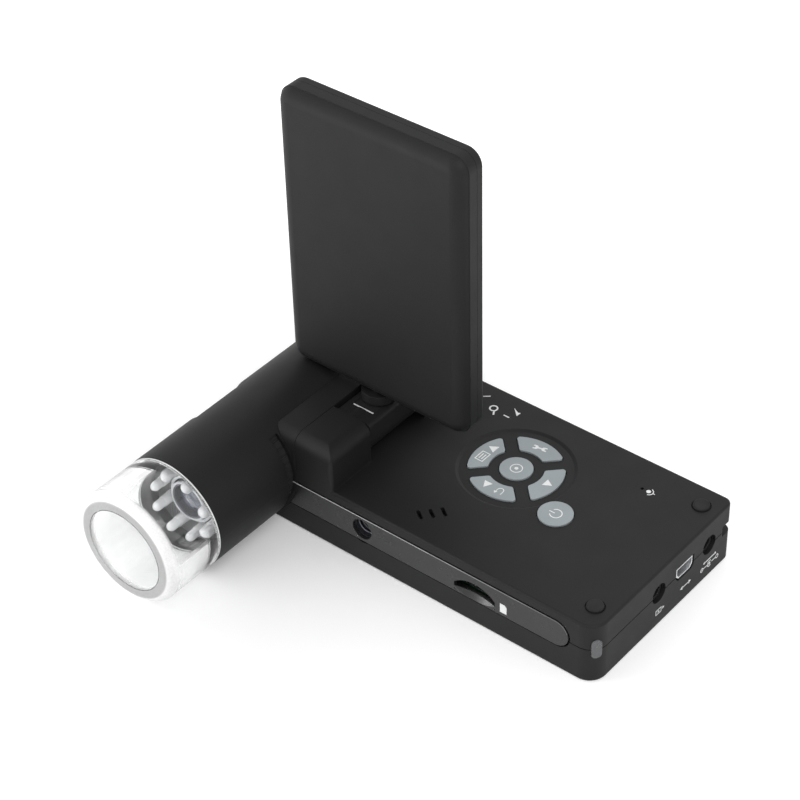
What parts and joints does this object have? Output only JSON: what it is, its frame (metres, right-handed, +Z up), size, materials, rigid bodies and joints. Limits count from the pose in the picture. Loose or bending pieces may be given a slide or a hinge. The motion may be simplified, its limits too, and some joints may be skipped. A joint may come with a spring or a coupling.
{
  "type": "handheld digital microscope",
  "caption": "Hand-held digital microscope: flat case with a key pad, a lens barrel with a clear spacer cap across one end, and a screen on a folding, turning hinge.",
  "frame": {"origin": "middle of the footprint, at the height of the table the case and barrel lie on", "axes": "+X along the case from the lens barrel to the socket end, +Y along the barrel from the clear tip to its closed end, +Z up"},
  "size_m": [0.141, 0.1184, 0.1291],
  "materials": {
    "case_black": "soft-touch",
    "gloss_black": "gloss",
    "key_grey": "satin",
    "clear_plastic": "clear",
    "lamp_plastic": "milky",
    "white_plastic": "satin",
    "smoke_plastic": "clear",
    "optical_glass": "coated",
    "screen_glass": "gloss",
    "lcd": "gloss",
    "board_green": "satin",
    "board_black": "satin",
    "foil": "satin",
    "dark_screw": "black zinc",
    "bright_steel": "satin",
    "bright_metal": "polished",
    "brass": "machined",
    "black_anodised": "black anodised",
    "black_rubber": "matte",
    "silicone": "matte"
  },
  "bodies": {
    "case": {"bottom_case": "case_black", "top_case": "case_black", "side_cover": "gloss_black", "tripod_insert": "black_anodised", "card_socket": "bright_steel", "main_board": "board_green", "battery": "foil", "case_screws": "dark_screw", "av_jack": "gloss_black", "usb_socket": "bright_metal", "usb_tongue": "gloss_black", "power_jack": "gloss_black", "strap_pin": "bright_steel", "indicator_lens": "smoke_plastic", "key_sheet": "silicone", "key_board": "board_green", "key_board_screws": "dark_screw", "screen_pads": "black_rubber", "speaker": "black_anodised", "microphone": "bright_steel", "hinge_cover": "case_black", "barrel_housing": "case_black", "barrel_screws": "dark_screw", "tail_cap": "case_black", "guide_sleeve": "case_black", "led_board": "board_black", "leds": "lamp_plastic", "lens_shroud": "bright_metal", "trim_ring": "white_plastic", "clear_cap": "clear_plastic", "sensor_board": "board_green", "image_sensor": "lcd", "flip_bushes": "brass"},
    "arm": {"hinge_arm": "case_black", "swivel_plate": "gloss_black", "swivel_bush": "brass", "flip_pins": "bright_steel"},
    "screen": {"swivel_post": "bright_steel", "swivel_clip": "bright_steel", "swivel_collar": "case_black", "screen_bracket": "bright_steel", "screen_back": "case_black", "screen_bezel": "case_black", "screen_glass": "screen_glass", "lcd_panel": "lcd", "screen_board": "board_green", "screen_screws": "dark_screw", "screw_caps": "black_rubber"},
    "focus_ring": {"focus_ring": "black_rubber"},
    "lens_carriage": {"lens_carriage": "black_anodised", "lens_nose": "bright_metal", "objective_lens": "optical_glass"},
    "key_menu": {"key_menu": "key_grey"},
    "key_setup": {"key_setup": "key_grey"},
    "key_down": {"key_down": "key_grey"},
    "key_back": {"key_back": "key_grey"},
    "key_ok": {"key_ok": "key_grey"},
    "key_power": {"key_power": "key_grey"}
  },
  "joints": [
    {"name": "screen_fold", "type": "hinge", "parent": "case", "child": "arm", "pos_m": [-0.02753, 0.0224, 0.0275], "axis": [0, 1, 0], "range_deg": [0, 24]},
    {"name": "screen_turn", "type": "hinge", "parent": "arm", "child": "screen", "pos_m": [-0.02753, 0.0224, 0.035], "axis": [0, 0, 1], "range_deg": [-180, 90]},
    {"name": "focus_turn", "type": "hinge", "parent": "case", "child": "focus_ring", "pos_m": [-0.05233, -0.0053, 0.01875], "axis": [0, 1, 0], "range_deg": [-135, 135]},
    {"name": "lens_slide", "type": "slide", "parent": "case", "child": "lens_carriage", "axis": [0, 1, 0], "range_m": [-0.003, 0.003]},
    {"name": "key_menu_press", "type": "slide", "parent": "case", "child": "key_menu", "axis": [0, 0, -1], "range_m": [0, 0.0004], "stiffness_N_per_m": 1200, "springref_m": -0.0004},
    {"name": "key_setup_press", "type": "slide", "parent": "case", "child": "key_setup", "axis": [0, 0, -1], "range_m": [0, 0.0004], "stiffness_N_per_m": 1200, "springref_m": -0.0004},
    {"name": "key_down_press", "type": "slide", "parent": "case", "child": "key_down", "axis": [0, 0, -1], "range_m": [0, 0.0004], "stiffness_N_per_m": 1200, "springref_m": -0.0004},
    {"name": "key_back_press", "type": "slide", "parent": "case", "child": "key_back", "axis": [0, 0, -1], "range_m": [0, 0.0004], "stiffness_N_per_m": 1200, "springref_m": -0.0004},
    {"name": "key_ok_press", "type": "slide", "parent": "case", "child": "key_ok", "axis": [0, 0, -1], "range_m": [0, 0.0004], "stiffness_N_per_m": 1200, "springref_m": -0.0004},
    {"name": "key_power_press", "type": "slide", "parent": "case", "child": "key_power", "axis": [0, 0, -1], "range_m": [0, 0.0004], "stiffness_N_per_m": 1200, "springref_m": -0.0004}
  ],
  "couplings": [
    {"joint": "focus_turn", "follows": "lens_slide", "rad_per_m": 785.39}
  ]
}
